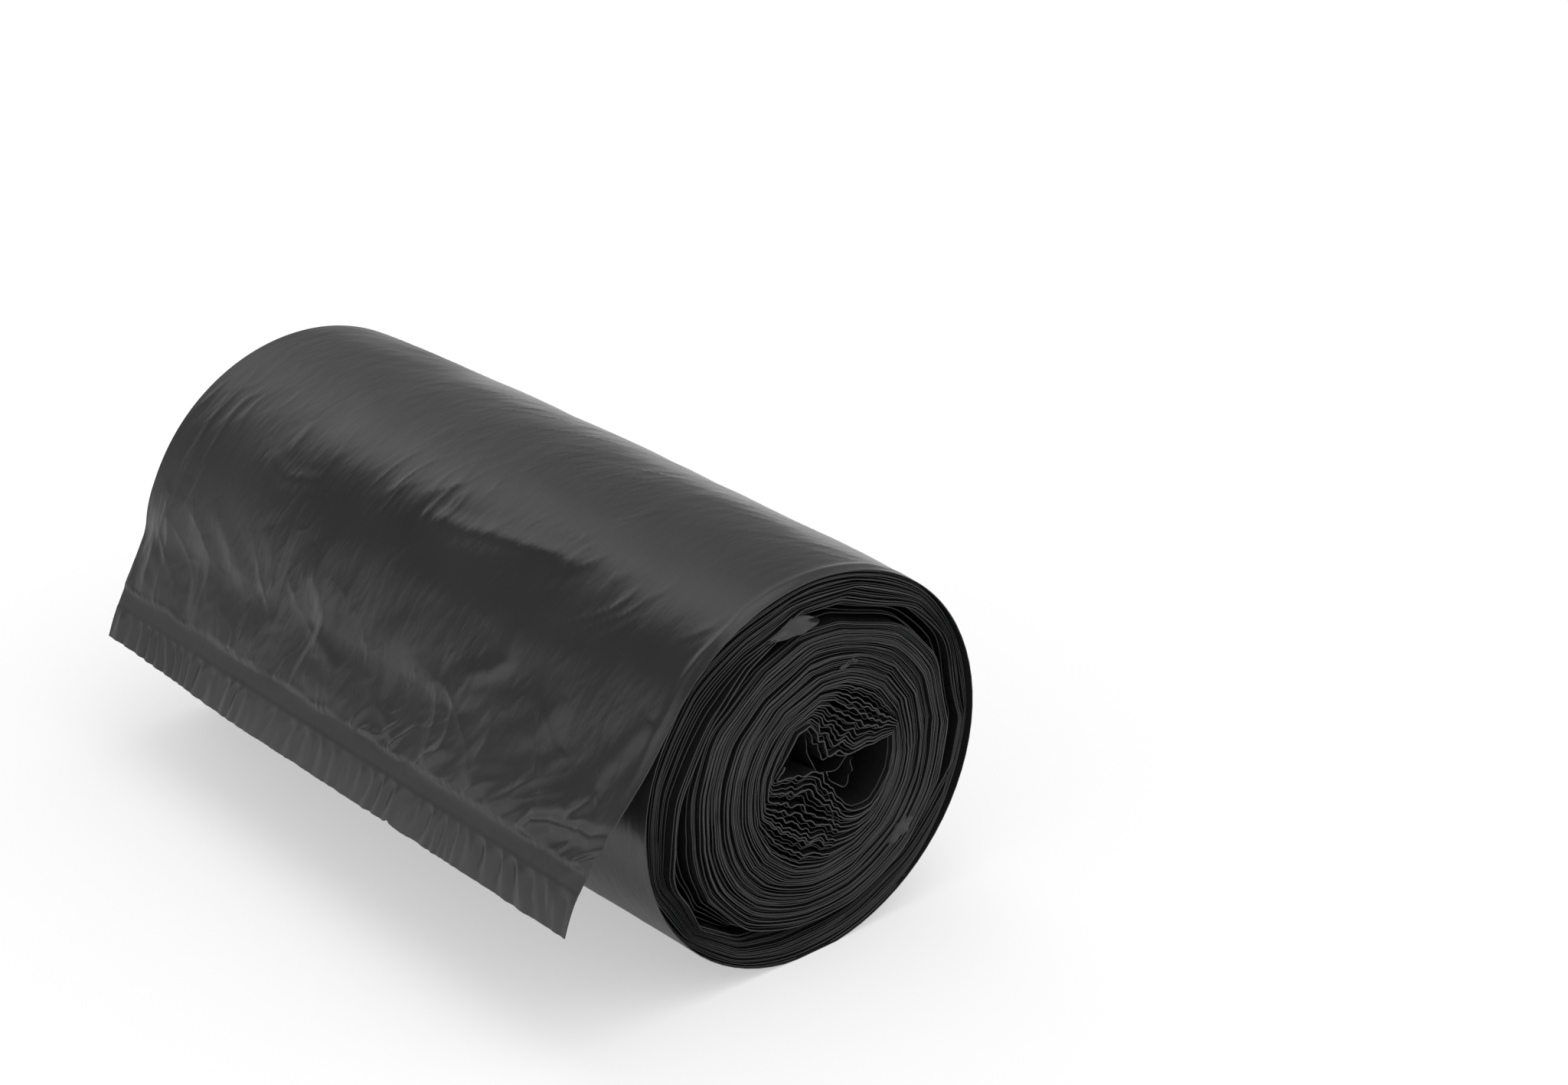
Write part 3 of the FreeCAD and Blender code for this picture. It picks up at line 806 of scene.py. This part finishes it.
def smooth_line(route, count):
    """Evenly spaced points on a route, with its corners a little rounded."""
    route = np.array(route, float)
    reached = np.concatenate([[0.0], np.cumsum(np.linalg.norm(np.diff(route, axis=0), axis=1))])
    places = np.linspace(0.0, reached[-1], count)
    reach = 0.04 * reached[-1]
    spots = [np.clip(places + shift * reach, 0.0, reached[-1]) for shift in (-1.0, -0.5, 0.0, 0.5, 1.0)]
    return np.mean([on_line(reached, route, spot) for spot in spots], axis=0)


def sheet_normals(points):
    """Normals of a grid of points."""
    return unit(np.cross(np.gradient(points, axis=0), np.gradient(points, axis=1)))


def inner_sheet(number, route):
    """One loose sheet in the open middle, which runs out towards the roll's middle."""
    line = smooth_line(route, SHEET_COLUMNS)
    share = np.linspace(0.0, 1.0, SHEET_ROWS)[:, None]
    way = np.arange(len(line))[None, :] / 7.0
    y = SHEET_FRONT + (SHEET_BACK - SHEET_FRONT) * share + 0.8 * noise(way, way * 0.0, 81 + number)
    ripple = 0.35 * noise(way, share * 9.0, 84 + number) * smooth(share * 8.0)
    points = np.stack([line[None, :, 0] + ripple, y, line[None, :, 1] + ripple], -1)
    return film_sheet(f"inner_sheet_{number + 1}", points, sheet_normals(points), SHEET_WALL)


def end_fold(number, lower, upper, pleats, height):
    """A small fold of film that stands out of the front end."""
    low = smooth_line(lower, END_FOLD_COLUMNS)
    high = smooth_line(upper, END_FOLD_COLUMNS)
    across = np.linspace(0.0, 1.0, END_FOLD_ROWS)[:, None]
    along = np.linspace(0.0, 1.0, END_FOLD_COLUMNS)[None, :]
    taper = 0.12 + 0.88 * np.sin(math.pi * along) ** 0.6
    section = low[None] + (high - low)[None] * (across * taper)[..., None]
    bulge = height * (1.0 - 0.9 * across) * (0.75 + 0.25 * zigzag(along * pleats + 0.3 * across))
    crease = 0.3 * noise(along * 7.0, across * 3.0, 90 + number)
    y = -END + END_FOLD_SEAT - (bulge + crease) * np.sin(math.pi * along) ** 0.4
    points = np.stack([section[..., 0], y, section[..., 1]], -1)
    return film_sheet(f"end_fold_{number + 1}", points, sheet_normals(points), END_FOLD_WALL)


def film_roughness(nodes, links, place, patches):
    """Roughness of the film: glossier and duller patches, and more of it on its crumpled sides."""
    gloss = nodes.new("ShaderNodeMapRange")
    gloss.inputs["To Min"].default_value = ROUGHNESS[0]
    gloss.inputs["To Max"].default_value = ROUGHNESS[1]
    links.new(patches.outputs["Fac"], gloss.inputs["Value"])
    split = nodes.new("ShaderNodeSeparateXYZ")
    links.new(place.outputs["Object"], split.inputs["Vector"])
    rough = gloss.outputs["Result"]
    for side, start, full, extra in DULLER_SIDES:
        crumpled = nodes.new("ShaderNodeMapRange")
        crumpled.interpolation_type = "SMOOTHSTEP"
        crumpled.inputs["From Min"].default_value = start
        crumpled.inputs["From Max"].default_value = full
        crumpled.inputs["To Max"].default_value = extra
        links.new(split.outputs[side], crumpled.inputs["Value"])
        total = nodes.new("ShaderNodeMath")
        links.new(rough, total.inputs[0])
        links.new(crumpled.outputs["Result"], total.inputs[1])
        rough = total.outputs["Value"]
    return rough


def film_tone(nodes, links, patches):
    """Black of the film, a little uneven."""
    tone = nodes.new("ShaderNodeValToRGB")
    tone.color_ramp.elements[0].color = DARK_TONE
    tone.color_ramp.elements[1].color = LIGHT_TONE
    links.new(patches.outputs["Fac"], tone.inputs["Fac"])
    return tone.outputs["Color"]


def film_bump(nodes, links, place):
    """Fine wrinkles of the film, finer than its mesh."""
    stretch = nodes.new("ShaderNodeMapping")
    stretch.inputs["Scale"].default_value = WRINKLE_STRETCH
    links.new(place.outputs["Object"], stretch.inputs["Vector"])
    wrinkle = nodes.new("ShaderNodeTexNoise")
    wrinkle.inputs["Scale"].default_value = WRINKLE_SCALE
    wrinkle.inputs["Detail"].default_value = 4.0
    links.new(stretch.outputs["Vector"], wrinkle.inputs["Vector"])
    bump = nodes.new("ShaderNodeBump")
    bump.inputs["Strength"].default_value = WRINKLE_STRENGTH
    bump.inputs["Distance"].default_value = WRINKLE_HEIGHT
    links.new(wrinkle.outputs["Fac"], bump.inputs["Height"])
    return bump.outputs["Normal"]


def film_material():
    """Black polyethylene film: satin, finely wrinkled, a little uneven in tone and gloss."""
    material = bpy.data.materials.new("black_film")
    material.use_nodes = True
    nodes, links = material.node_tree.nodes, material.node_tree.links
    shader = nodes["Principled BSDF"]
    shader.inputs["IOR"].default_value = FILM_IOR
    place = nodes.new("ShaderNodeTexCoord")
    patches = nodes.new("ShaderNodeTexNoise")
    patches.inputs["Scale"].default_value = PATCH_SCALE
    patches.inputs["Detail"].default_value = 3.0
    links.new(place.outputs["Object"], patches.inputs["Vector"])
    links.new(film_roughness(nodes, links, place, patches), shader.inputs["Roughness"])
    links.new(film_tone(nodes, links, patches), shader.inputs["Base Color"])
    links.new(film_bump(nodes, links, place), shader.inputs["Normal"])
    return material


def floor_material():
    """White floor with plain white laid over it for the camera, and a little for what the film mirrors."""
    material = bpy.data.materials.new("floor")
    material.use_nodes = True
    nodes, links = material.node_tree.nodes, material.node_tree.links
    shader = nodes["Principled BSDF"]
    shader.inputs["Base Color"].default_value = (FLOOR_WHITE,) * 3 + (1.0,)
    shader.inputs["Roughness"].default_value = FLOOR_ROUGHNESS
    shader.inputs["Specular IOR Level"].default_value = FLOOR_GLOSS
    ray = nodes.new("ShaderNodeLightPath")
    white = nodes.new("ShaderNodeEmission")
    mix = nodes.new("ShaderNodeMixShader")
    glow = None
    shares = {
        "Is Camera Ray": FLOOR_GLOW,
        "Is Glossy Ray": MIRRORED_GLOW,
        "Is Transmission Ray": MIRRORED_GLOW,
    }
    for kind, share in shares.items():
        part = nodes.new("ShaderNodeMath")
        part.operation = "MULTIPLY"
        part.inputs[1].default_value = share
        links.new(ray.outputs[kind], part.inputs[0])
        if glow is None:
            glow = part.outputs["Value"]
            continue
        larger = nodes.new("ShaderNodeMath")
        larger.operation = "MAXIMUM"
        links.new(glow, larger.inputs[0])
        links.new(part.outputs["Value"], larger.inputs[1])
        glow = larger.outputs["Value"]
    links.new(glow, mix.inputs["Fac"])
    links.new(shader.outputs["BSDF"], mix.inputs[1])
    links.new(white.outputs["Emission"], mix.inputs[2])
    links.new(mix.outputs["Shader"], nodes["Material Output"].inputs["Surface"])
    return material


def stage_floor():
    """Plain white floor, which keeps the roll's shadow."""
    reach = FLOOR_REACH
    corners = [(-reach, -reach, 0.0), (reach, -reach, 0.0), (reach, reach, 0.0), (-reach, reach, 0.0)]
    mesh = bpy.data.meshes.new("floor")
    mesh.from_pydata(corners, [], [(0, 1, 2, 3)])
    floor = bpy.data.objects.new("floor", mesh)
    bpy.context.scene.collection.objects.link(floor)
    mesh.materials.append(floor_material())


def aim(thing, place, target):
    """Puts a light or the camera in its place and points it at a target."""
    thing.location = place
    thing.rotation_euler = (Vector(target) - Vector(place)).to_track_quat("-Z", "Y").to_euler()


def light_studio():
    """A bright studio with a dark gap at the left of its back wall."""
    world = bpy.data.worlds.new("studio")
    world.use_nodes = True
    nodes, links = world.node_tree.nodes, world.node_tree.links
    place = nodes.new("ShaderNodeTexCoord")
    split = nodes.new("ShaderNodeSeparateXYZ")
    spread = nodes.new("ShaderNodeMapRange")
    spread.inputs["From Min"].default_value = -1.0
    spread.inputs["From Max"].default_value = 1.0
    level = nodes.new("ShaderNodeValToRGB")
    level.color_ramp.interpolation = "EASE"
    stops = level.color_ramp.elements
    while len(stops) < len(STUDIO_LEVELS):
        stops.new(0.5)
    for stop, (side, strength) in zip(stops, STUDIO_LEVELS):
        stop.position = (side + 1.0) / 2.0
        stop.color = (strength / STUDIO_LIMIT,) * 3 + (1.0,)
    links.new(place.outputs["Generated"], split.inputs["Vector"])
    links.new(split.outputs["X"], spread.inputs["Value"])
    links.new(spread.outputs["Result"], level.inputs["Fac"])
    behind = nodes.new("ShaderNodeMapRange")
    behind.interpolation_type = "SMOOTHSTEP"
    behind.inputs["From Min"].default_value = FRONT_UNTIL
    behind.inputs["From Max"].default_value = BACK_FROM
    links.new(split.outputs["Y"], behind.inputs["Value"])
    mix = nodes.new("ShaderNodeMixRGB")
    mix.inputs["Color1"].default_value = (FRONT_LEVEL / STUDIO_LIMIT,) * 3 + (1.0,)
    links.new(behind.outputs["Result"], mix.inputs["Fac"])
    links.new(level.outputs["Color"], mix.inputs["Color2"])
    links.new(mix.outputs["Color"], nodes["Background"].inputs["Color"])
    nodes["Background"].inputs["Strength"].default_value = STUDIO_LIMIT
    bpy.context.scene.world = world


def light_above():
    """A wide soft light from above."""
    data = bpy.data.lights.new("soft_top", "SUN")
    data.energy = SUN_STRENGTH
    data.angle = math.radians(SUN_ANGLE)
    lamp = bpy.data.objects.new("soft_top", data)
    bpy.context.scene.collection.objects.link(lamp)
    aim(lamp, SUN_PLACE, (0.0, 0.0, 0.0))


def camera():
    """The photograph's viewing angle, worked out from the roll's outline in it."""
    data = bpy.data.cameras.new("camera")
    data.sensor_width = SENSOR_WIDTH
    data.angle = math.radians(CAMERA_ANGLE)
    data.clip_end = CLIP_END
    view = bpy.data.objects.new("camera", data)
    bpy.context.scene.collection.objects.link(view)
    aim(view, CAMERA_PLACE, tuple(p + l for p, l in zip(CAMERA_PLACE, CAMERA_LOOK)))
    bpy.context.scene.camera = view


def main():
    """Makes the film's pieces, ties them to the part, and sets up the floor, the light and the camera."""
    film = film_material()
    pieces = outer_pieces() + [turns(name, *ribbon) for name, ribbon in RIBBONS.items()]
    pieces += [inner_sheet(number, route) for number, route in enumerate(INNER_SHEETS)]
    pieces += [end_fold(number, *fold) for number, fold in enumerate(END_FOLDS)]
    for piece in pieces:
        piece.data.materials.append(film)
        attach(piece, BODY)
        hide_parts(NODE)
    stage_floor()
    light_studio()
    light_above()
    camera()
    bpy.context.scene.view_settings.view_transform = "Standard"


main()
